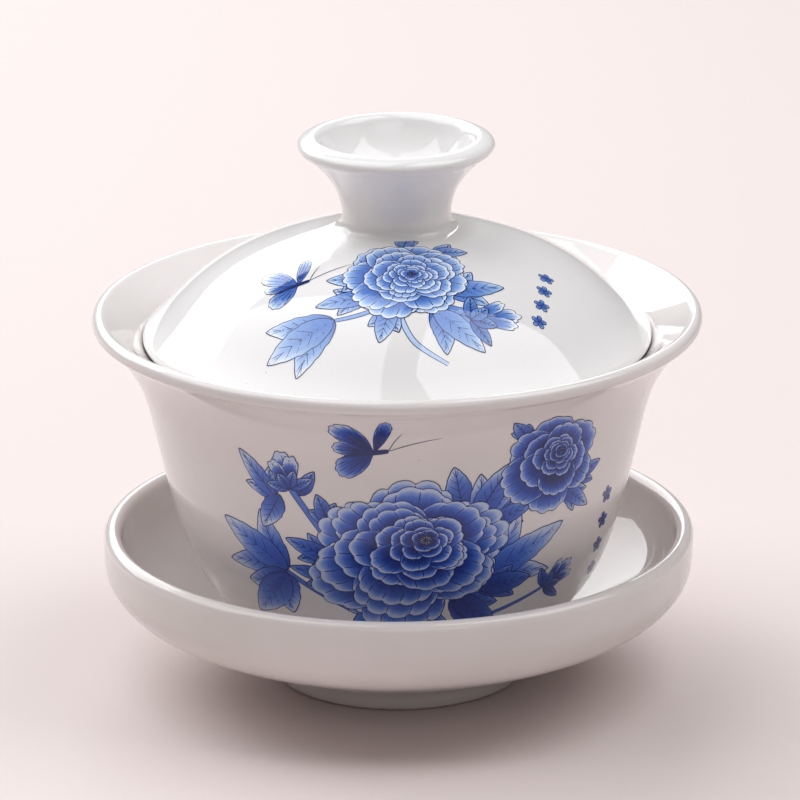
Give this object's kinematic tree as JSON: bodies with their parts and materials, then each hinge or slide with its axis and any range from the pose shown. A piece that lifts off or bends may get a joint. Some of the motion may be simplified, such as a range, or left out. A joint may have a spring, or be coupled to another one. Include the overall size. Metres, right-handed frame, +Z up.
{
  "type": "gaiwan",
  "caption": "Covered porcelain tea bowl with a flared rim, a domed lid with a hollow knob, and a deep saucer, painted with blue peonies.",
  "frame": {"origin": "centre of the saucer's foot ring, on the surface that the gaiwan stands on", "axes": "+Z up along the common axis of the saucer, bowl and lid; -Y is the side that faces the drinker, with the flower print"},
  "size_m": [0.1, 0.1, 0.092],
  "materials": {
    "saucer_glaze": "glossy clear glaze on white porcelain",
    "bowl_glaze": "glossy clear glaze on white porcelain",
    "lid_glaze": "glossy clear glaze on white porcelain",
    "bare_body": "unglazed ground foot ring",
    "cobalt_print": "cobalt blue flower print under the same glossy glaze"
  },
  "bodies": {
    "saucer": {"saucer": "saucer_glaze"},
    "bowl": {"bowl": "bowl_glaze"},
    "lid": {"lid_dome": "lid_glaze", "lid_knob": "lid_glaze"}
  },
  "joints": [
    {"name": "bowl_lift", "type": "slide", "parent": "saucer", "child": "bowl", "axis": [0, 0, 1], "range_m": [0, 0.045]},
    {"name": "lid_lift", "type": "slide", "parent": "bowl", "child": "lid", "axis": [0, 0, 1], "range_m": [0, 0.045]}
  ]
}
